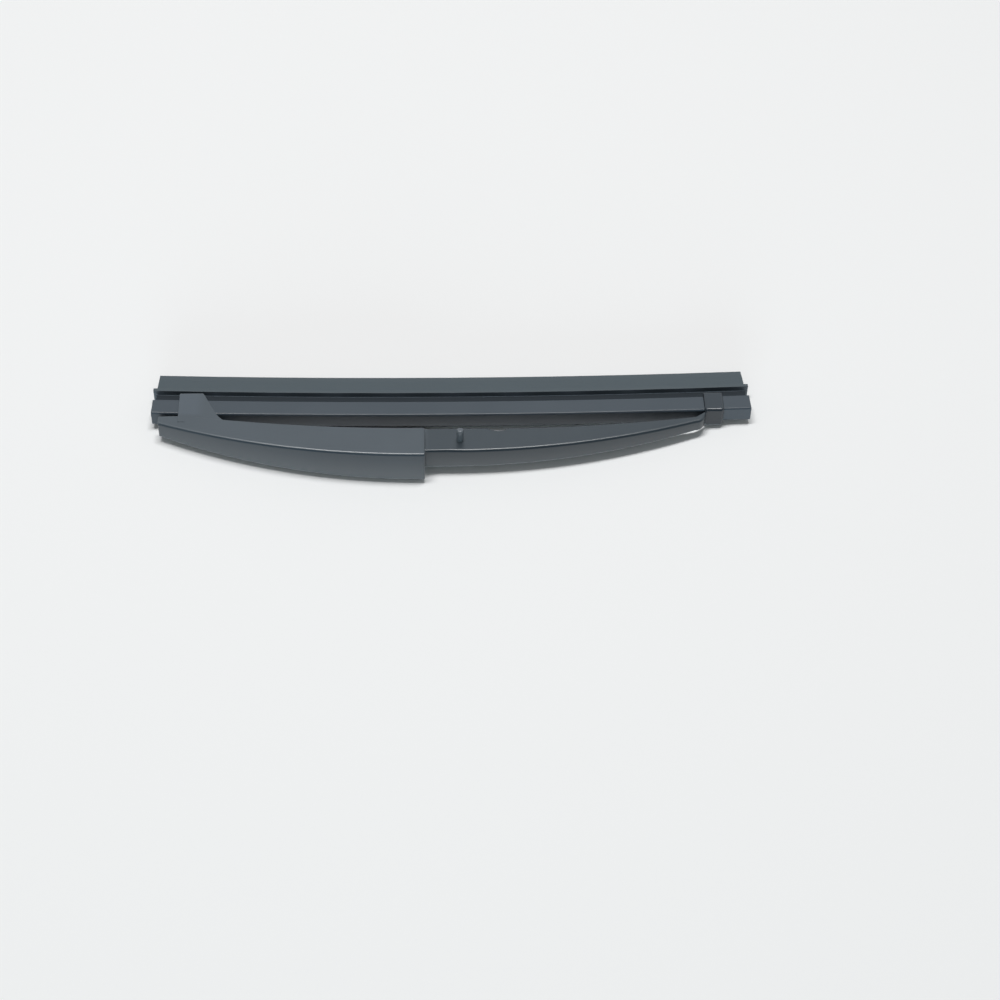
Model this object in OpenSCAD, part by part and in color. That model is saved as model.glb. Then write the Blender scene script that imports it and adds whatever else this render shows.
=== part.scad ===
// Short wiper blade, lying on its side as it comes to rest.
// The blade is drawn flat first: x runs along it, y points from the bow to the wiping edge,
// z is its thickness about the middle plane, and y = 0 is the back of the rail at mid length.
// It is then tipped onto the three places that touch the table.

/* [Rail] */
// Length of the rail over its two ends
rail_l = 250; // [230:1:270]
// How far the ends of the rail lie in front of its middle
rail_rise = 2.5; // [1:0.1:4]
// Depth of the rail, which the claws hold
head_d = 8.1; // [7:0.1:9]
// Thickness of the rail
head_t = 7; // [6:0.1:8]
// Bevel along the edges of the rail
head_bevel = 0.5; // [0.2:0.1:1]
// Depth of the rail's two lips, which close in front of the bead
jaw_d = 1.5; // [1:0.1:2]

/* [Rubber lip] */
// Depth of the groove between the rail and the shoulder
groove_d = 5.3; // [5:0.1:7]
// Thickness of the neck that lets the lip tilt
neck_t = 1.2; // [1:0.1:2]
// How far each end of the neck stops short of the shoulder
neck_short = 1.2; // [0:0.1:2]
// Depth of the shoulder that rests on the rail when the lip tilts
shoulder_d = 1.5; // [1:0.1:2.5]
// Thickness of the shoulder
shoulder_t = 6; // [5:0.1:7]
// Reach of the lip in front of the shoulder
lip_reach = 10.1; // [8:0.1:13]
// How far each end of the lip stops short of the shoulder
lip_short = 1.8; // [0:0.1:3]
// Thickness of the lip where it leaves the shoulder
lip_root_t = 3.6; // [2.8:0.1:4.6]
// Thickness of the lip where the wiping edge begins
lip_waist_t = 1.7; // [1.3:0.1:2.4]
// Depth of the thin wiping edge
edge_d = 2.7; // [1.5:0.1:4]
// Thickness of the wiping edge
edge_t = 0.9; // [0.6:0.1:1.2]
// Thickness of the bead that the rail grips
bead_t = 3.4; // [2.8:0.1:3.6]
// Depth of the bead
bead_d = 3; // [2:0.1:3.4]
// Clearance between the rubber and the rail
rubber_gap = 0.15; // [0.1:0.05:0.25]

/* [Bow] */
// Distance from the rail to the back of the bow, at mid length
bow_back = 22; // [20:0.1:24]
// Distance from the rail to the front of the bow, at mid length
bow_front = 9.3; // [8.5:0.1:10.5]
// Thickness of the bow at mid length
bow_t = 9.8; // [9:0.1:10.6]
// Thickness of the bow just before the right claw
bow_end_t = 6; // [5:0.1:7]
// How far the back of the bow stands behind the rail, just before the right claw
bow_end_back = 6.1; // [5:0.1:6.8]
// How far the front of the bow stands behind the rail, just before the right claw
bow_end_front = 3.2; // [2.8:0.1:3.8]
// Length of the rounded end that runs up into the right claw
bow_nose_l = 4.4; // [3:0.1:6]
// How far the rounded end reaches in under the right claw
bow_nose_under = 0.4; // [0.2:0.1:2]
// Where the front of the bow starts to close on the rail, from mid length
bow_front_x = 15; // [0:1:30]
// Wall of the bow's channel
bow_wall = 1.6; // [1.2:0.1:2]

/* [Sleeve] */
// Where the mouth of the sleeve is, from mid length towards the left
mouth_x = 11.8; // [8:0.1:16]
// How far the left tip of the sleeve stops short of the rail
tip_short = 3.4; // [2:0.1:6]
// Distance from the rail to the back of the sleeve, at the mouth
sleeve_back = 26.5; // [25.8:0.1:28]
// Distance from the rail to the front edge of the sleeve, at the mouth
sleeve_front = 11.2; // [10.5:0.1:12]
// Thickness of the sleeve at the mouth
sleeve_t = 15.2; // [14.6:0.1:17]
// Thickness of the sleeve at its left tip
tip_t = 8.2; // [7:0.1:10]
// Distance from the rail to the back of the sleeve, at its left tip
tip_back = 6.6; // [5:0.1:8]
// Gap between the rail and the front of the sleeve, at its left tip
tip_gap = 2.4; // [1.5:0.1:3.5]
// Radius of the sleeve's front edge, seen from above
sleeve_front_r = 460; // [400:2:520]
// Wall of the sleeve
sleeve_wall = 1.4; // [1.1:0.1:1.6]
// Depth of the socket inside the mouth
socket_l = 42; // [30:1:50]

/* [Claws] */
// Distance from the left end of the rail to the outer side of the left claw
left_claw_in = 11.5; // [10:0.5:16]
// Distance from the right end of the rail to the outer side of the right claw
right_claw_in = 11.7; // [10:0.1:16]
// Width of the left claw over its hook
left_claw_w = 9.5; // [8:0.1:12]
// Width of the right claw
right_claw_w = 8; // [6:0.1:10]
// Wall of the claws beside and behind the head
claw_wall = 1.15; // [0.9:0.05:1.4]
// Depth of the left claw's hooks in the groove
left_hook_d = 2.9; // [1.5:0.1:3.8]
// Depth of the right claw's hooks in the groove
right_hook_d = 1; // [0.8:0.1:3]
// How far the hooks close in front of the rail
hook_grip = 1.3; // [0.8:0.1:1.8]
// Bevel along the tips of the hooks
claw_bevel = 0.8; // [0.3:0.05:0.85]
// Width of the flare between the tip of the left claw and the sleeve
flare_w = 8.5; // [5:0.5:12]
// Radius where the flare runs into the sleeve
flare_r = 11.3; // [6:0.1:16]
// Distance from the outer side of the left claw to the ridge of its facet, at the rail's back
facet_in = 6; // [4:0.1:8]
// Angle between the ridge of the facet and the side of the left claw
facet_turn = 30; // [15:1:45]
// Slope of the facet
facet_fall = 3; // [1:0.5:4]
// How far the left claw's pads run down the sides of the sleeve
pad_d = 3.5; // [2:0.1:4.5]
// Clearance between the claws and the rail
claw_gap = 0.2; // [0.1:0.05:0.3]

/* [Stud and notch] */
// Where the stud stands, from mid length
stud_x = 2.7; // [0:0.1:6]
// Diameter of the stud
stud_d = 2.9; // [2:0.1:4]
// Height of the stud above the side of the bow
stud_h = 5.8; // [3:0.1:8]
// Middle of the notch in the front edge of the bow, from mid length
notch_x = 18.5; // [14:0.1:26]
// Radius of the notch
notch_r = 7.3; // [5:0.1:9]
// Depth of the notch
notch_d = 1.4; // [0.8:0.1:2]

/* [Ribs] */
// Thickness of the cross ribs
rib_t = 1.2; // [0.8:0.1:1.6]
// Distance from one rib to the next
rib_pitch = 11; // [8:0.5:16]
// How far the ribs are set back from the open front
rib_back = 2; // [1:0.1:3]

/* [Hidden] */

plastic = [0.33, 0.36, 0.39];
rubber = [0.36, 0.38, 0.40];

curve_steps = 18;
sweep_steps = 30;
round_fn = 64;
over = 1;

rail_r = (pow(rail_l / 2, 2) + pow(rail_rise, 2)) / (2 * rail_rise);
rail_turn = asin(rail_l / 2 / rail_r);
shoulder_y = head_d + groove_d;
front_y = shoulder_y + shoulder_d;
tip_y = front_y + lip_reach;
neck_turn = asin((rail_l / 2 - neck_short) / (rail_r - shoulder_y));
shoulder_turn = asin(rail_l / 2 / (rail_r - shoulder_y));
lip_turn = asin((rail_l / 2 - lip_short) / (rail_r - tip_y));
bead_y = head_d - jaw_d - rubber_gap;

tip_x = -(rail_l / 2 - tip_short);
left_claw_x = -(rail_l / 2 - left_claw_in);
right_claw_x = rail_l / 2 - right_claw_in;
claw_half = head_t / 2 + claw_gap + claw_wall;

sleeve_back_r = radius_through(tip_x + mouth_x, sleeve_back - tip_back + rail_y(tip_x));
sleeve_side_r = radius_through(tip_x + mouth_x, (sleeve_t - tip_t) / 2);
right_claw_back = rail_y(right_claw_x - right_claw_w) - claw_gap - claw_wall;
bow_end_x = right_claw_x - right_claw_w + bow_nose_under - bow_nose_l;
bow_back_r = radius_through(bow_end_x, bow_back - bow_end_back + rail_y(bow_end_x));
bow_side_r = radius_through(bow_end_x, (bow_t - bow_end_t) / 2);
bow_front_r = radius_through(bow_end_x - bow_front_x, bow_front - bow_end_front + rail_y(bow_end_x));
root_x = -mouth_x - socket_l;
stud_y = -(bow_back + bow_front) / 2;

// The flare's straight edge falls to the front of the sleeve, and an arc rounds their corner
claw_far_y = rail_y(left_claw_x) + head_d + left_hook_d;
flare_foot = [left_claw_x + left_claw_w + flare_w, sleeve_front_y(left_claw_x + left_claw_w + flare_w)];
flare_angle = atan((claw_far_y - flare_foot[1]) / flare_w);
foot_angle = asin(-(flare_foot[0] + mouth_x) / sleeve_front_r);
arc_half = (flare_angle - foot_angle) / 2;
arc_middle = 90 - (flare_angle + foot_angle) / 2;
arc_hub = flare_foot + flare_r / cos(arc_half) * [cos(arc_middle), sin(arc_middle)];
flare_end_x = flare_foot[0] + flare_r * tan(arc_half) * cos(foot_angle);
pocket_x = flare_end_x + sleeve_wall;

// The blade lies on the front corner of the sleeve's mouth and on the tips of its claws
rest_y = [-sleeve_front, claw_far_y - claw_bevel];
rest_z = [-sleeve_t / 2, -claw_half];
lie = atan((rest_z[1] - rest_z[0]) / (rest_y[1] - rest_y[0]));
lip_end_y = rail_r - (rail_r - tip_y) * cos(lip_turn);
lowest_z = -rest_y[0] * sin(lie) + rest_z[0] * cos(lie);
far_y = lip_end_y * cos(lie) + edge_t / 2 * sin(lie);
near_y = -sleeve_back * cos(lie) - sleeve_t / 2 * sin(lie);

// Radius of the circle that falls by a height over a length, from a level crown
function radius_through(length, height) = (pow(length, 2) + pow(height, 2)) / (2 * height);

// How far a circle has fallen at a distance from its crown
function drop(distance, r) = r - sqrt(pow(r, 2) - pow(distance, 2));

// Back of the curved rail at a place along it
function rail_y(x) = drop(x, rail_r);

function stations(from, to, count) = [for (i = [0:count]) from + (to - from) * i / count];

function sleeve_back_y(x) = -sleeve_back + drop(x + mouth_x, sleeve_back_r);
function sleeve_front_y(x) =
    min(-sleeve_front + drop(x + mouth_x, sleeve_front_r), rail_y(x) - tip_gap);
function sleeve_half(x) = sleeve_t / 2 - drop(x + mouth_x, sleeve_side_r);

function bow_back_y(x) = -bow_back + drop(max(x, 0), bow_back_r);
function bow_front_y(x) = -bow_front + drop(max(x - bow_front_x, 0), bow_front_r);
function bow_half(x) = bow_t / 2 - drop(max(x, 0), bow_side_r);

// A closed outline that runs out along one line and back along another
function band(out, back) = concat(out, [for (i = [len(back) - 1:-1:0]) back[i]]);

// A bar that keeps to its outline from above and to its outline from behind
module bar(above, behind) {
    deep = sleeve_back + tip_y;
    intersection() {
        linear_extrude(height = 2 * sleeve_t, center = true)
            polygon(above);
        rotate([90, 0, 0])
            linear_extrude(height = 2 * deep, center = true)
                polygon(behind);
    }
}

// The sleeve's outer form, or its inside when a wall is given
module sleeve_form(from, to, wall = 0, front = 0) {
    xs = stations(from, to, curve_steps);
    bar(
        band([for (x = xs) [x, sleeve_back_y(x) + wall]], [for (x = xs) [x, sleeve_front_y(x) + front]]),
        band([for (x = xs) [x, wall - sleeve_half(x)]], [for (x = xs) [x, sleeve_half(x) - wall]])
    );
}

// The bow's outer form, or its inside when a wall is given
module bow_form(from, to, wall = 0, front = 0) {
    xs = stations(from, to, curve_steps);
    bar(
        band([for (x = xs) [x, bow_back_y(x) + wall]], [for (x = xs) [x, bow_front_y(x) + front]]),
        band([for (x = xs) [x, wall - bow_half(x)]], [for (x = xs) [x, bow_half(x) - wall]])
    );
}

// Cross ribs that stop short of an open front, whose line is given as a function of x
module ribs(from, to, front_line) {
    count = floor((to - from) / rib_pitch);
    pitch = (to - from) / (count + 1);
    for (i = [1:count]) {
        x = from + i * pitch;
        translate([x - rib_t / 2, -sleeve_back, -sleeve_t / 2])
            cube([rib_t, sleeve_back + front_line(x) - rib_back, sleeve_t]);
    }
}

// A profile drawn in depth and thickness, swept along the rail's curve
module along_rail(turn) {
    translate([0, rail_r, 0])
        rotate([0, 0, -90 - turn])
            rotate_extrude(angle = 2 * turn, $fn = ceil(sweep_steps * 180 / turn))
                translate([rail_r, 0])
                    mirror([1, 0])
                        children();
}

// Half of a profile, mirrored about the middle plane
module both_sides(half) {
    polygon(band(half, [for (p = half) [p[0], -p[1]]]));
}

// The room that the claws leave for the rail
module rail_room() {
    along_rail(rail_turn)
        both_sides([
            [-claw_gap, head_t / 2 + claw_gap],
            [head_d + claw_gap, head_t / 2 + claw_gap],
            [head_d + claw_gap, head_t / 2 - hook_grip],
            [tip_y, head_t / 2 - hook_grip]
        ]);
}

// Cuts that bevel the tips of a pair of hooks
module hook_bevels(far) {
    for (side = [-1, 1])
        translate([0, far, side * claw_half])
            rotate([45, 0, 0])
                cube([rail_l, claw_bevel * sqrt(2), claw_bevel * sqrt(2)], center = true);
}

// Slanting cuts that leave a facet on both sides of the left claw
module claw_facets() {
    ridge_x = left_claw_x + facet_in;
    deep = claw_far_y + sleeve_back;
    for (side = [0, 1])
        mirror([0, 0, side])
            translate([ridge_x, rail_y(left_claw_x), claw_half])
                rotate([0, facet_fall, -facet_turn])
                    translate([0, -deep, 0])
                        cube([deep, 2 * deep, claw_half]);
}

// Left claw, with the flare that runs into the sleeve
module left_claw() {
    root = sleeve_front_y(left_claw_x) - pad_d;
    flare = [for (a = stations(270 - foot_angle, 270 - flare_angle, 8))
        arc_hub + flare_r * [cos(a), sin(a)]];
    difference() {
        bar(
            concat(
                [[left_claw_x, claw_far_y], [left_claw_x, root]],
                [[flare_end_x, sleeve_front_y(flare_end_x) - over]],
                flare,
                [[left_claw_x + left_claw_w, claw_far_y]]
            ),
            [[left_claw_x, -claw_half], [flare_end_x, -claw_half],
                [flare_end_x, claw_half], [left_claw_x, claw_half]]
        );
        hook_bevels(claw_far_y);
        claw_facets();
    }
}

// Right claw, which closes straight round the head
module right_claw() {
    far = rail_y(right_claw_x) + head_d + right_hook_d;
    difference() {
        translate([right_claw_x - right_claw_w, right_claw_back, -claw_half])
            cube([right_claw_w, far - right_claw_back, 2 * claw_half]);
        hook_bevels(far);
    }
}

// Rounded end of the bow, which runs up into the back of the right claw
module bow_nose() {
    rise = right_claw_back + claw_wall / 2 - bow_back_y(bow_end_x);
    round_end = [for (t = stations(0, 90, 8))
        [bow_end_x + bow_nose_l * sin(t), bow_back_y(bow_end_x) + rise * (1 - cos(t))]];
    linear_extrude(height = 2 * bow_half(bow_end_x), center = true)
        polygon(concat(
            round_end,
            [[right_claw_x - right_claw_w, right_claw_back + claw_wall / 2]],
            [[bow_end_x, bow_front_y(bow_end_x)]]
        ));
}

module carrier_flat() {
    bow_foot_x = bow_end_x - bow_nose_l;
    difference() {
        union() {
            difference() {
                sleeve_form(tip_x, -mouth_x);
                sleeve_form(root_x, -mouth_x + over, sleeve_wall, over);
                difference() {
                    sleeve_form(pocket_x, root_x - rib_t, sleeve_wall, over);
                    ribs(pocket_x, root_x - rib_t, function(x) sleeve_front_y(x));
                }
            }
            difference() {
                bow_form(root_x - rib_t, bow_end_x);
                difference() {
                    bow_form(root_x, bow_foot_x, bow_wall, over);
                    ribs(root_x, bow_foot_x, function(x) bow_front_y(x));
                }
            }
            bow_nose();
            left_claw();
            right_claw();
        }
        rail_room();
        translate([notch_x, -bow_front + notch_r - notch_d, 0])
            cylinder(r = notch_r, h = 2 * bow_t, center = true, $fn = round_fn);
    }
    translate([stud_x, stud_y, bow_half(stud_x) - bow_wall / 2])
        cylinder(d = stud_d, h = stud_h + bow_wall / 2, $fn = round_fn);
}

// A C-shaped section whose two lips hold the bead of the rubber
module backing_rail_flat() {
    room = bead_t / 2 + rubber_gap;
    mouth = neck_t / 2 + rubber_gap;
    along_rail(rail_turn)
        difference() {
            both_sides([
                [0, head_t / 2 - head_bevel],
                [head_bevel, head_t / 2],
                [head_d - head_bevel, head_t / 2],
                [head_d, head_t / 2 - head_bevel]
            ]);
            both_sides([
                [bead_y - bead_d - rubber_gap, room],
                [bead_y + rubber_gap, room],
                [bead_y + rubber_gap, mouth],
                [head_d + over, mouth]
            ]);
        }
}

// Bead and thin neck, shoulder, and the lip with its wiping edge
module rubber_lip_flat() {
    inside_shoulder = shoulder_y + shoulder_d / 2;
    along_rail(neck_turn)
        both_sides([
            [bead_y - bead_d, bead_t / 2],
            [bead_y, bead_t / 2],
            [bead_y, neck_t / 2],
            [inside_shoulder, neck_t / 2]
        ]);
    along_rail(shoulder_turn)
        both_sides([
            [shoulder_y, shoulder_t / 2],
            [front_y, shoulder_t / 2]
        ]);
    along_rail(lip_turn)
        both_sides([
            [inside_shoulder, lip_root_t / 2],
            [front_y, lip_root_t / 2],
            [tip_y - edge_d, lip_waist_t / 2],
            [tip_y - edge_d, edge_t / 2],
            [tip_y, edge_t / 2]
        ]);
}

// Tips the flat blade onto its resting places, with the middle of its box over the origin
module laid_down() {
    translate([0, -(far_y + near_y) / 2, -lowest_z])
        rotate([-lie, 0, 0])
            children();
}

module carrier() {
    color(plastic)
        laid_down()
            carrier_flat();
}

module backing_rail() {
    color(plastic)
        laid_down()
            backing_rail_flat();
}

module rubber_lip() {
    color(rubber)
        laid_down()
            rubber_lip_flat();
}

carrier();
backing_rail();
rubber_lip();
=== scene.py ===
"""Looks of a short wiper blade that lies on its side on a pale table.

Lengths are in metres, in the frame of the CAD model: X along the blade, Y from the bow towards
the wiping edge, Z up from the table. The blade's own frame isn't tipped: its Y starts at the
rail's back at mid length, and its Z at the blade's middle plane.
"""

import math

import bmesh
import bpy
from mathutils import Matrix, Vector


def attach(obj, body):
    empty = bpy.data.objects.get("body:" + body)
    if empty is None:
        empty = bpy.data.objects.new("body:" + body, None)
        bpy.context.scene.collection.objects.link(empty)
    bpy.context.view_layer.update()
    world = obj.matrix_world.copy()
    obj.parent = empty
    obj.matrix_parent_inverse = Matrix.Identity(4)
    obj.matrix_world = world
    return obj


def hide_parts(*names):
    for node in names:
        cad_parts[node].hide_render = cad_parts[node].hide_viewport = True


MM = 0.001

# The camera, as the blade was seen
LENS = 77.815
SENSOR = 36.0
CAMERA_AT = Vector((-0.012892, -0.546723, 0.722031))
CAMERA_RIGHT = Vector((0.999317, -0.028318, 0.023864))
CAMERA_UP = Vector((0.009346, 0.816327, 0.577512))
CAMERA_BACK = Vector((-0.035832, -0.576924, 0.816075))
CLIP_START = 0.05

# How far the blade's middle plane is tipped about its length, and where its own zero lies
LIE = math.radians(6.6855)
ZERO_Y = -0.0546 * MM
ZERO_Z = 6.2444 * MM
RAIL_RADIUS = 3126.25 * MM

# Vertices nearer than this are one, and faces flatter than this are joined
MERGE = 0.002 * MM
JOIN = math.radians(0.3)

# Corners sharper than this are rounded, and flatter ones are shaded smooth
SHARP = math.radians(33)

# Radius of a rounding, and how many segments it has
RIDGE_ROUNDING = (1.2 * MM, 6)
MOULDED_ROUNDING = (0.3 * MM, 3)
EXTRUDED_ROUNDING = (0.18 * MM, 2)
RUBBER_ROUNDING = (0.1 * MM, 2)

# Direction cosines by which faces and edges are told apart
ALONG = 0.9
SLANTED = 0.5
UPRIGHT = 0.3
BACKWARD = -0.15
BROAD_BACK = -0.7
# Facing of the lower back edges' roundings that take a painted highlight
EDGE_HIGHLIGHT_FACING = (-0.75, -0.2)

# A back that spans more of the thickness is broad, and a step that spans less isn't rounded
BROAD_RISE = 3 * MM
STEP_RISE = 0.6 * MM

# The right claw with a little to spare, and where its side and its back begin
RIGHT_CLAW = (105.2 * MM, 113.4 * MM)
RIGHT_CLAW_SIDE = 4.6 * MM
RIGHT_CLAW_BACK = 1.5 * MM

# The round notch in the bow's front edge, and the stud on the bow's side, in the blade's own frame
NOTCH_AT = Vector((18.5, -3.4)) * MM
NOTCH_RADIUS = 7.3 * MM
STUD_AT = Vector((2.7, -15.65)) * MM
STUD_RADIUS = 1.45 * MM
ABOVE_BOW = 8 * MM
TO_SPARE = 0.1 * MM

# Where one tone gives way to the next: along the blade, in front of the rail's back, and in height
SLEEVE_END = (-13.0 * MM, -10.0 * MM)
LEFT_CLAW_END = (-106.5 * MM, -102.5 * MM)
LEFT_CLAW_FOOT = (-2.5 * MM, -1.0 * MM)
RAIL_BACK_END = (0.05 * MM, 0.35 * MM)
NECK_END = (13.2 * MM, 13.3 * MM)
GROOVE_END = (13.41 * MM, 13.45 * MM)
BACK_SPAN = (-5.0 * MM, 5.5 * MM)

# Dark and light tone of each place. All but the lip's tone hold painted light and shade: each
# place is lighter or darker as light fell on it, not by its own colour
# The sleeve is painted lighter as lit and the bow darker as shaded, though they are one moulding
SLEEVE_LIT_TONES = ((0.048, 0.060, 0.071), (0.058, 0.072, 0.085))
BOW_SHADED_TONES = ((0.019, 0.027, 0.034), (0.026, 0.035, 0.043))
# The left claw is painted lighter as light and the right claw darker as shade
LEFT_CLAW_LIT_TONES = ((0.060, 0.075, 0.091), (0.070, 0.087, 0.105))
RIGHT_CLAW_SHADED_TONES = ((0.008, 0.014, 0.021), (0.013, 0.020, 0.028))
# Painted light on the stud
STUD_PAINTED_LIGHT_TONES = ((0.075, 0.088, 0.100), (0.085, 0.098, 0.112))
# A painted highlight along the roundings of the lower back edges
EDGE_HIGHLIGHT_TONES = ((0.14, 0.16, 0.18), (0.20, 0.22, 0.24))
# The rail's front is painted darker as shade, its back lighter as light
RAIL_FRONT_SHADED_TONES = ((0.021, 0.031, 0.042), (0.029, 0.040, 0.052))
RAIL_BACK_LIT_TONES = ((0.034, 0.052, 0.070), (0.044, 0.063, 0.083))
LIP = ((0.028, 0.043, 0.051), (0.036, 0.052, 0.061))
# Painted shade on the neck deep in the groove, and painted light on the groove's wall
NECK_SHADED_TONES = ((0.008, 0.014, 0.020), (0.012, 0.019, 0.026))
GROOVE_WALL_LIT_TONES = ((0.12, 0.155, 0.19), (0.14, 0.18, 0.215))

# Painted shade down the broad back: what the bow's back adds to its tone at the ridge, where it is
# painted darker, how much more at its foot, where it is painted lighter, and what the sleeve's
# back adds to both
BACK_SHADE_AT_RIDGE = -0.020
BACK_LIGHT_AT_FOOT = 0.058
SLEEVE_BACK_SHADE = -0.010

# How strongly all surfaces mirror, how much their roughness wanders and how deep their grain is
SPECULAR = 0.75
UNEVEN_ROUGHNESS = 0.08
GRAIN_DEPTH = 0.02 * MM

# Roughness of the lip, and what the neck has more
LIP_ROUGHNESS = 0.5
NECK_ROUGHER = 0.4

# The table and the backdrop, which have one colour, and the lights
PALE = (0.88, 0.885, 0.885)
TABLE_SIZE = 8.0
TABLE_ROUGHNESS = 0.9
TABLE_SPECULAR = 0.1
LIGHT_DISTANCE = 2.4
FILL_COLOUR = (0.78, 0.95, 1.0)
ROOM_STRENGTH = 0.185

# The room in a reflection, and how it fades in from the camera's side to the far side
MIRRORED = (0.80, 0.89, 0.96)
MIRRORED_SPAN = (-0.35, 0.25)
MIRRORED_STRENGTH = (0.12, 1.0)

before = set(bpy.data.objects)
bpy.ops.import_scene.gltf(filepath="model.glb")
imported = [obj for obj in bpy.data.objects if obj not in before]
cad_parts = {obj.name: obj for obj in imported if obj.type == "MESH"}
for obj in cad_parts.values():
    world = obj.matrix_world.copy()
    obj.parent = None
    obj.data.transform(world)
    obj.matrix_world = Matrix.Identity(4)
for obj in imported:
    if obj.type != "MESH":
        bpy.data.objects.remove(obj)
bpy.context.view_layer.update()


def deselect_all():
    bpy.ops.object.select_all(action="DESELECT")


def working_copy(node, name):
    """A merged copy of a CAD node, which will stand in its place."""
    deselect_all()
    piece = bpy.data.objects.new(name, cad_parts[node].data.copy())
    bpy.context.scene.collection.objects.link(piece)
    piece.data.name = name
    piece.data.materials.clear()
    bpy.context.view_layer.objects.active = piece
    piece.select_set(True)
    bpy.ops.object.mode_set(mode="EDIT")
    bpy.ops.mesh.select_all(action="SELECT")
    bpy.ops.mesh.remove_doubles(threshold=MERGE)
    bpy.ops.mesh.dissolve_limited(angle_limit=JOIN)
    bpy.ops.mesh.select_all(action="DESELECT")
    bpy.ops.object.mode_set(mode="OBJECT")
    return piece


def flat_direction(vector):
    """A direction in the blade's own frame."""
    return Matrix.Rotation(LIE, 3, "X") @ vector


def flat_place(point):
    """A point in the blade's own frame."""
    return flat_direction(point - Vector((0.0, ZERO_Y, ZERO_Z)))


def all_within(points, middle, radius):
    """Whether all points lie within a round outline in the blade's own plan."""
    return all((flat_place(point).xy - middle).length < radius + TO_SPARE for point in points)


def rounded_place(point):
    """A point to a hundredth of a millimetre, for looking faces up by their middles."""
    return tuple(round(value / (0.01 * MM)) for value in point)


def rise(face):
    """How much of the blade's thickness a face spans."""
    heights = [flat_place(corner.co).z for corner in face.verts]
    return max(heights) - min(heights)


def is_corner(edge):
    return len(edge.link_faces) == 2 and edge.is_convex and edge.calc_face_angle() > SHARP


def is_notch_rim(edge):
    """Whether an edge lies along the notch, which stays sharp so that it looks dark."""
    return all_within([corner.co for corner in edge.verts], NOTCH_AT, NOTCH_RADIUS)


def is_long_ridge(edge):
    """Whether an edge lies between the moulding's broad back and one of its sides."""
    first, second = edge.link_faces
    for side, back in ((first, second), (second, first)):
        facing = flat_direction(back.normal)
        upright = facing.y < BACKWARD and abs(facing.z) < UPRIGHT
        if abs(flat_direction(side.normal).z) > ALONG and upright and rise(back) > BROAD_RISE:
            return True
    return False


def is_claw_corner(edge):
    """Whether an edge is an outer corner of the right claw, along a side or down its back."""
    ends = [flat_place(corner.co) for corner in edge.verts]
    if not all(RIGHT_CLAW[0] < end.x < RIGHT_CLAW[1] for end in ends):
        return False
    along = (ends[1] - ends[0]).normalized()
    beside = all(abs(end.z) > RIGHT_CLAW_SIDE for end in ends) and abs(along.y) > ALONG
    behind = all(end.y < RIGHT_CLAW_BACK for end in ends) and abs(along.z) > ALONG
    return beside or behind


def bevel_where(piece, wanted, rounding):
    """Bevels the corners of a piece that pass a test, and returns the new faces' middles."""
    bpy.context.view_layer.objects.active = piece
    bpy.ops.object.mode_set(mode="EDIT")
    bpy.ops.mesh.select_mode(type="EDGE")
    bpy.ops.mesh.select_all(action="DESELECT")
    mesh = bmesh.from_edit_mesh(piece.data)
    for edge in mesh.edges:
        edge.select_set(is_corner(edge) and wanted(edge))
    bmesh.update_edit_mesh(piece.data)
    width, segments = rounding
    bpy.ops.mesh.bevel(
        offset=width, segments=segments, affect="EDGES", clamp_overlap=False, miter_outer="ARC"
    )
    mesh = bmesh.from_edit_mesh(piece.data)
    made = {rounded_place(face.calc_center_median()) for face in mesh.faces if face.select}
    bpy.ops.mesh.select_all(action="DESELECT")
    bpy.ops.object.mode_set(mode="OBJECT")
    return made


def shade_flat_and_round(piece):
    """Smooth roundings between faces that stay flat."""
    bpy.ops.object.shade_smooth_by_angle(angle=SHARP)
    normals = piece.modifiers.new("flat faces stay flat", "WEIGHTED_NORMAL")
    normals.keep_sharp = True
    bpy.ops.object.modifier_apply(modifier=normals.name)


def round_corners(piece, rounding, arcs=frozenset()):
    """Rounds the corners of a piece, but not those of low steps. Arcs made before are no steps."""
    def is_step(face):
        low = abs(flat_direction(face.normal).z) < SLANTED and rise(face) < STEP_RISE
        return low and rounded_place(face.calc_center_median()) not in arcs

    def takes_rounding(edge):
        return not is_notch_rim(edge) and not any(is_step(face) for face in edge.link_faces)

    bevel_where(piece, takes_rounding, rounding)
    shade_flat_and_round(piece)


def mark_faces(piece, name, test):
    """Notes on each face whether its direction, in the blade's own frame, and corners pass."""
    mark = piece.data.attributes.new(name, "FLOAT", "FACE")
    for face in piece.data.polygons:
        corners = [piece.data.vertices[corner].co for corner in face.vertices]
        mark.data[face.index].value = float(test(flat_direction(face.normal), corners))


def make_carrier():
    """The moulding, with its painted highlight along the lower back edges, its broad back and its
    stud marked for their painted tones.
    """
    piece = working_copy("carrier", "moulded_carrier")
    arcs = bevel_where(
        piece, lambda edge: is_long_ridge(edge) or is_claw_corner(edge), RIDGE_ROUNDING
    )

    # Lower back roundings that take the painted highlight
    def on_painted_edge_highlight(facing, corners):
        low = EDGE_HIGHLIGHT_FACING[0] < facing.z < EDGE_HIGHLIGHT_FACING[1] and facing.y < 0
        return low and rounded_place(sum(corners, Vector()) / len(corners)) in arcs

    def on_stud(_, corners):
        high = max(flat_place(corner).z for corner in corners) > ABOVE_BOW
        return high and all_within(corners, STUD_AT, STUD_RADIUS)

    mark_faces(piece, "painted_edge_highlight", on_painted_edge_highlight)
    round_corners(piece, MOULDED_ROUNDING, arcs)
    mark_faces(piece, "back", lambda facing, _: facing.y < BROAD_BACK)
    mark_faces(piece, "stud", on_stud)
    return piece


def make_rail():
    piece = working_copy("backing_rail", "extruded_rail")
    round_corners(piece, EXTRUDED_ROUNDING)
    return piece


def make_lip():
    piece = working_copy("rubber_lip", "wiping_lip")
    round_corners(piece, RUBBER_ROUNDING)
    return piece


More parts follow.
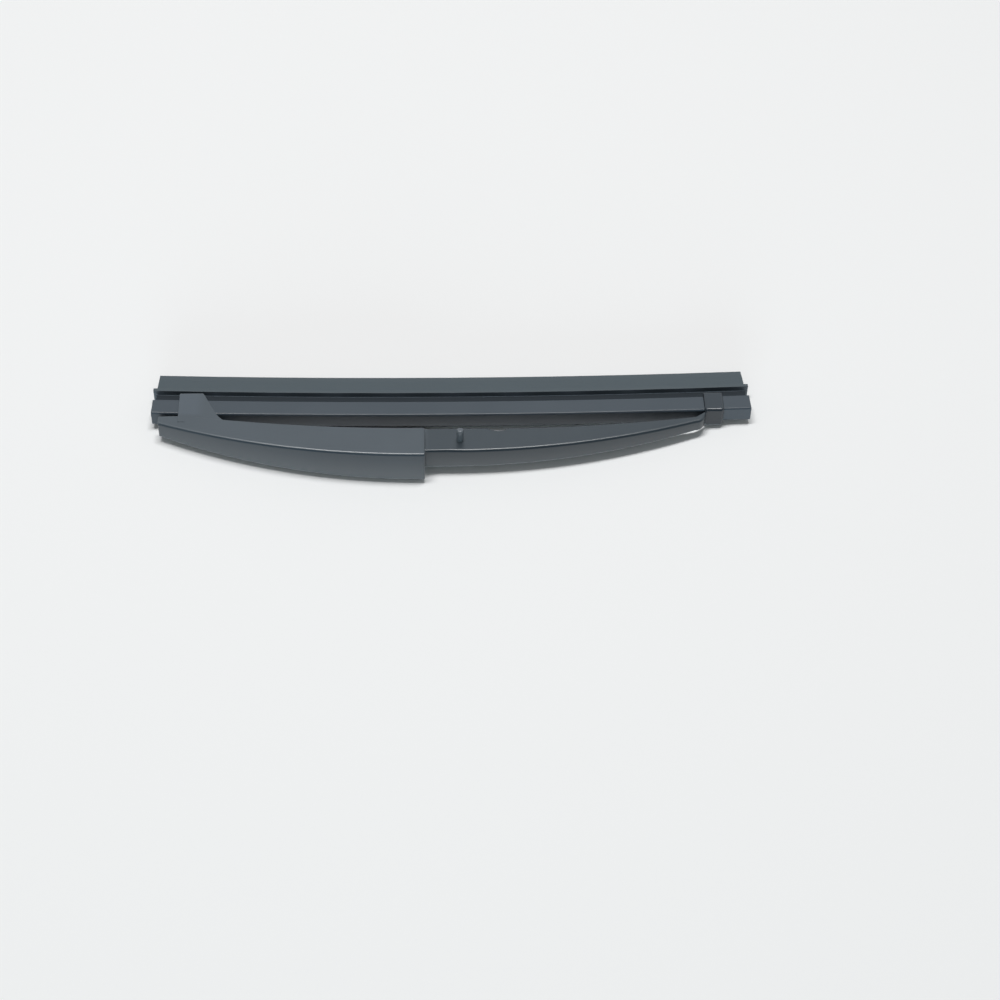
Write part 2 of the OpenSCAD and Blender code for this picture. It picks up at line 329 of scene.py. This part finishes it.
def new_group(name, inputs, outputs):
    """A node group with named inputs and outputs."""
    group = bpy.data.node_groups.new(name, "ShaderNodeTree")
    for label, kind, value in inputs:
        socket = group.interface.new_socket(label, in_out="INPUT", socket_type=kind)
        socket.default_value = value
    for label in outputs:
        group.interface.new_socket(label, in_out="OUTPUT", socket_type="NodeSocketFloat")
    return group, group.nodes.new("NodeGroupInput"), group.nodes.new("NodeGroupOutput")


def feed(tree, socket, value):
    """Links a socket to another one, or sets it to a plain value."""
    if isinstance(value, bpy.types.NodeSocket):
        tree.links.new(value, socket)
    else:
        socket.default_value = value


def math_node(tree, operation, *values):
    """A Math node whose inputs are sockets or plain numbers."""
    node = tree.nodes.new("ShaderNodeMath")
    node.operation = operation
    for socket, value in zip(node.inputs, values):
        feed(tree, socket, value)
    return node.outputs[0]


def noise_node(tree, vector, scale, detail, roughness):
    node = tree.nodes.new("ShaderNodeTexNoise")
    node.inputs["Detail"].default_value = detail
    node.inputs["Roughness"].default_value = roughness
    tree.links.new(vector, node.inputs["Vector"])
    tree.links.new(scale, node.inputs["Scale"])
    return node.outputs["Fac"]


def make_grain_group():
    """Fine mould grain over faint, broad unevenness."""
    group, given, made = new_group(
        "mould_grain",
        [
            ("Vector", "NodeSocketVector", (0, 0, 0)),
            ("Grain", "NodeSocketFloat", 2600.0),
            ("Broad", "NodeSocketFloat", 70.0),
        ],
        ["Height", "Uneven"],
    )
    where = given.outputs["Vector"]
    fine = noise_node(group, where, given.outputs["Grain"], 3.0, 0.6)
    broad = noise_node(group, where, given.outputs["Broad"], 2.0, 0.5)
    group.links.new(fine, made.inputs["Height"])
    group.links.new(broad, made.inputs["Uneven"])
    return group


def make_place_group():
    """How far a place lies in front of the rail's curved back and above the middle plane."""
    group, given, made = new_group(
        "place_in_blade", [("Vector", "NodeSocketVector", (0, 0, 0))], ["Depth", "Height"]
    )
    split = group.nodes.new("ShaderNodeSeparateXYZ")
    group.links.new(given.outputs["Vector"], split.inputs[0])
    out = math_node(group, "SUBTRACT", split.outputs["Y"], ZERO_Y)
    up = math_node(group, "SUBTRACT", split.outputs["Z"], ZERO_Z)
    across = math_node(group, "MULTIPLY", out, math.cos(LIE))
    down = math_node(group, "MULTIPLY", up, math.sin(LIE))
    over = math_node(group, "MULTIPLY", out, math.sin(LIE))
    height = math_node(group, "MULTIPLY_ADD", up, math.cos(LIE), over)
    group.links.new(height, made.inputs["Height"])
    square = math_node(group, "MULTIPLY", split.outputs["X"], split.outputs["X"])
    curve = math_node(group, "DIVIDE", square, 2 * RAIL_RADIUS)
    flat = math_node(group, "SUBTRACT", across, down)
    group.links.new(math_node(group, "SUBTRACT", flat, curve), made.inputs["Depth"])
    return group


GRAIN = make_grain_group()
PLACE = make_place_group()


def add_group(tree, group, vector, **values):
    """Places a node group that reads a vector, with its own values."""
    node = tree.nodes.new("ShaderNodeGroup")
    node.node_tree = group
    tree.links.new(vector, node.inputs["Vector"])
    for label, value in values.items():
        node.inputs[label].default_value = value
    return node


def fade(tree, value, span, first, last):
    """A Map Range node from the first value to the last over a span, and level beyond it."""
    node = tree.nodes.new("ShaderNodeMapRange")
    tree.links.new(value, node.inputs["Value"])
    for label, number in zip(("From Min", "From Max", "To Min", "To Max"), (*span, first, last)):
        node.inputs[label].default_value = number
    return node


def step(tree, value, span, first=1.0, last=0.0):
    """The result of a fade, by default one before the span and zero past it."""
    return fade(tree, value, span, first, last).outputs["Result"]


def mix(tree, factor, first, second):
    """A colour between two, each a socket or a plain colour."""
    node = tree.nodes.new("ShaderNodeMix")
    node.data_type = "RGBA"
    tree.links.new(factor, node.inputs["Factor"])
    feed(tree, node.inputs["A"], first)
    feed(tree, node.inputs["B"], second)
    return node.outputs["Result"]


def tone(tree, grain, tones):
    """A place's colour, which wanders between its dark and its light tone."""
    dark, light = tones
    return mix(tree, grain.outputs["Uneven"], (*dark, 1.0), (*light, 1.0))


def lightened(tree, colour, amount):
    """A colour with an amount added to its three channels."""
    node = tree.nodes.new("ShaderNodeVectorMath")
    node.operation = "ADD"
    tree.links.new(colour, node.inputs[0])
    tree.links.new(amount, node.inputs[1])
    return node.outputs["Vector"]


def face_mark(tree, name):
    """What mark_faces noted under a name."""
    node = tree.nodes.new("ShaderNodeAttribute")
    node.attribute_name = name
    return node.outputs["Fac"]


def start_material(name):
    material = bpy.data.materials.new(name)
    material.use_nodes = True
    tree = material.node_tree
    shader = tree.nodes["Principled BSDF"]
    shader.inputs["Specular IOR Level"].default_value = SPECULAR
    where = tree.nodes.new("ShaderNodeTexCoord").outputs["Object"]
    return material, tree, shader, where


def finish_surface(tree, shader, grain, roughness, bumpiness):
    """Gives a surface its uneven roughness, and its grain as a bump."""
    uneven = grain.outputs["Uneven"]
    rough = math_node(tree, "MULTIPLY_ADD", uneven, UNEVEN_ROUGHNESS, roughness)
    tree.links.new(rough, shader.inputs["Roughness"])
    bump = tree.nodes.new("ShaderNodeBump")
    bump.inputs["Strength"].default_value = bumpiness
    bump.inputs["Distance"].default_value = GRAIN_DEPTH
    tree.links.new(grain.outputs["Height"], bump.inputs["Height"])
    tree.links.new(bump.outputs["Normal"], shader.inputs["Normal"])


def moulded_plastic():
    """The carrier's plastic, in a painted tone of light or shade for each of its parts. Its back
    is painted darker at the ridge and lighter at the foot.
    """
    material, tree, shader, where = start_material("moulded charcoal plastic")
    grain = add_group(tree, GRAIN, where, Grain=2600.0, Broad=60.0)
    place = add_group(tree, PLACE, where)
    split = tree.nodes.new("ShaderNodeSeparateXYZ")
    tree.links.new(where, split.inputs[0])
    along = split.outputs["X"]

    # Painted shade makes the bow darker than the sleeve
    on_sleeve = step(tree, along, SLEEVE_END)
    colour = mix(tree, on_sleeve, tone(tree, grain, BOW_SHADED_TONES), tone(tree, grain, SLEEVE_LIT_TONES))
    # Painted shade on the broad back, darker at the ridge and lighter at the foot

    at_ridge = math_node(tree, "MULTIPLY_ADD", on_sleeve, SLEEVE_BACK_SHADE, BACK_SHADE_AT_RIDGE)
    at_foot = math_node(tree, "MULTIPLY_ADD", on_sleeve, SLEEVE_BACK_SHADE, BACK_LIGHT_AT_FOOT)
    low = step(tree, place.outputs["Height"], BACK_SPAN)
    painted_back_shading = math_node(tree, "MULTIPLY_ADD", low, at_foot, at_ridge)
    painted_shading_on_back = math_node(tree, "MULTIPLY", face_mark(tree, "back"), painted_back_shading)
    colour = lightened(tree, colour, painted_shading_on_back)

    # Painted light on the left claw and the stud, painted shade on the right claw, and a painted
    # highlight along the lower back edges
    far_left = step(tree, along, LEFT_CLAW_END)
    past_gap = step(tree, place.outputs["Depth"], LEFT_CLAW_FOOT, 0.0, 1.0)
    on_left_claw = math_node(tree, "MULTIPLY", far_left, past_gap)
    on_right_claw = math_node(tree, "GREATER_THAN", along, RIGHT_CLAW[0])
    for mask, tones in (
        (on_left_claw, LEFT_CLAW_LIT_TONES),
        (on_right_claw, RIGHT_CLAW_SHADED_TONES),
        (face_mark(tree, "stud"), STUD_PAINTED_LIGHT_TONES),
        (face_mark(tree, "painted_edge_highlight"), EDGE_HIGHLIGHT_TONES),
    ):
        colour = mix(tree, mask, colour, tone(tree, grain, tones))
    tree.links.new(colour, shader.inputs["Base Color"])
    finish_surface(tree, shader, grain, roughness=0.28, bumpiness=0.3)
    return material


def extruded_plastic():
    """The rail's plastic, which is painted paler on its back as light, and darker on its front as
    shade.
    """
    material, tree, shader, where = start_material("extruded charcoal plastic")
    grain = add_group(tree, GRAIN, where, Grain=1800.0, Broad=45.0)
    depth = add_group(tree, PLACE, where).outputs["Depth"]
    # Painted light on the rail's back, painted shade on its front
    on_back = step(tree, depth, RAIL_BACK_END)
    colour = mix(tree, on_back, tone(tree, grain, RAIL_FRONT_SHADED_TONES), tone(tree, grain, RAIL_BACK_LIT_TONES))
    tree.links.new(colour, shader.inputs["Base Color"])
    finish_surface(tree, shader, grain, roughness=0.36, bumpiness=0.2)
    return material


def lip_rubber():
    """Rubber with painted shade that makes the neck in the groove darker than the lip, and painted
    light on the groove's wall. The neck is also rougher.
    """
    material, tree, shader, where = start_material("charcoal lip rubber")
    grain = add_group(tree, GRAIN, where, Grain=1500.0, Broad=40.0)
    depth = add_group(tree, PLACE, where).outputs["Depth"]
    # Painted shade on the neck and painted light on the groove's wall
    on_neck = step(tree, depth, NECK_END)
    in_groove = step(tree, depth, GROOVE_END)
    groove = mix(tree, on_neck, tone(tree, grain, GROOVE_WALL_LIT_TONES), tone(tree, grain, NECK_SHADED_TONES))
    colour = mix(tree, in_groove, tone(tree, grain, LIP), groove)
    tree.links.new(colour, shader.inputs["Base Color"])
    roughness = math_node(tree, "MULTIPLY_ADD", on_neck, NECK_ROUGHER, LIP_ROUGHNESS)
    finish_surface(tree, shader, grain, roughness, bumpiness=0.2)
    return material


def finish_piece(piece, material, node):
    piece.data.materials.append(material)
    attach(piece, "root")
    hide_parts(node)


def add_table():
    """The pale table that the blade lies on."""
    deselect_all()
    bpy.ops.mesh.primitive_plane_add(size=TABLE_SIZE, location=(0, 0, 0))
    table = bpy.context.object
    table.name = "table"
    material = bpy.data.materials.new("pale table")
    material.use_nodes = True
    shader = material.node_tree.nodes["Principled BSDF"]
    shader.inputs["Base Color"].default_value = (*PALE, 1.0)
    shader.inputs["Roughness"].default_value = TABLE_ROUGHNESS
    shader.inputs["Specular IOR Level"].default_value = TABLE_SPECULAR
    table.data.materials.append(material)


def add_light(name, sideways, side, elevation, size, power):
    """A wide soft light that looks at the blade from behind, side 1, or from in front, side -1."""
    angle = math.radians(elevation)
    away, up = LIGHT_DISTANCE * math.cos(angle), LIGHT_DISTANCE * math.sin(angle)
    spot = Vector((sideways, side * away, up))
    data = bpy.data.lights.new(name, "AREA")
    data.shape = "RECTANGLE"
    data.size, data.size_y = size
    data.energy = power
    lamp = bpy.data.objects.new(name, data)
    bpy.context.scene.collection.objects.link(lamp)
    lamp.location = spot
    lamp.rotation_euler = (-spot).to_track_quat("-Z", "Y").to_euler()
    return lamp


def add_lights():
    """A softbox almost overhead, and a low cool fill that no surface mirrors."""
    add_light(
        "overhead softbox", sideways=-0.1, side=1, elevation=82, size=(1.5, 0.3), power=47.0
    )
    fill = add_light(
        "front fill", sideways=-0.2, side=-1, elevation=7, size=(1.2, 0.44), power=25.0
    )
    fill.data.color = FILL_COLOUR
    fill.visible_glossy = False


def background(tree, colour, strength):
    node = tree.nodes.new("ShaderNodeBackground")
    node.inputs["Color"].default_value = (*colour, 1.0)
    feed(tree, node.inputs["Strength"], strength)
    return node.outputs[0]


def mix_backgrounds(tree, factor, first, second):
    node = tree.nodes.new("ShaderNodeMixShader")
    for socket, value in zip(node.inputs, (factor, first, second)):
        tree.links.new(value, socket)
    return node.outputs[0]


def add_world():
    """A dim room, pale where it is seen, whose reflection darkens above the camera's side."""
    world = bpy.data.worlds.new("studio")
    bpy.context.scene.world = world
    world.use_nodes = True
    tree = world.node_tree
    tree.nodes.clear()
    out = tree.nodes.new("ShaderNodeOutputWorld")
    path = tree.nodes.new("ShaderNodeLightPath")
    direction = tree.nodes.new("ShaderNodeSeparateXYZ")
    tree.links.new(tree.nodes.new("ShaderNodeTexCoord").outputs["Generated"], direction.inputs[0])
    behind = fade(tree, direction.outputs["Y"], MIRRORED_SPAN, *MIRRORED_STRENGTH)
    behind.interpolation_type = "SMOOTHSTEP"
    room = background(tree, (1.0, 1.0, 1.0), ROOM_STRENGTH)
    backdrop = background(tree, PALE, 1.0)
    mirrored = background(tree, MIRRORED, behind.outputs["Result"])
    seen = math_node(
        tree, "MAXIMUM", path.outputs["Is Camera Ray"], path.outputs["Is Transmission Ray"]
    )
    unseen = mix_backgrounds(tree, path.outputs["Is Glossy Ray"], room, mirrored)
    tree.links.new(mix_backgrounds(tree, seen, unseen, backdrop), out.inputs["Surface"])


def add_camera():
    data = bpy.data.cameras.new("camera")
    data.lens = LENS
    data.sensor_width = SENSOR
    data.clip_start = CLIP_START
    camera = bpy.data.objects.new("camera", data)
    bpy.context.scene.collection.objects.link(camera)
    turn = Matrix((CAMERA_RIGHT, CAMERA_UP, CAMERA_BACK)).transposed()
    camera.matrix_world = Matrix.Translation(CAMERA_AT) @ turn.to_4x4()
    bpy.context.scene.camera = camera


add_camera()
add_table()
add_lights()
add_world()
finish_piece(make_carrier(), moulded_plastic(), "carrier")
finish_piece(make_rail(), extruded_plastic(), "backing_rail")
finish_piece(make_lip(), lip_rubber(), "rubber_lip")

bpy.context.scene.view_settings.view_transform = "Standard"
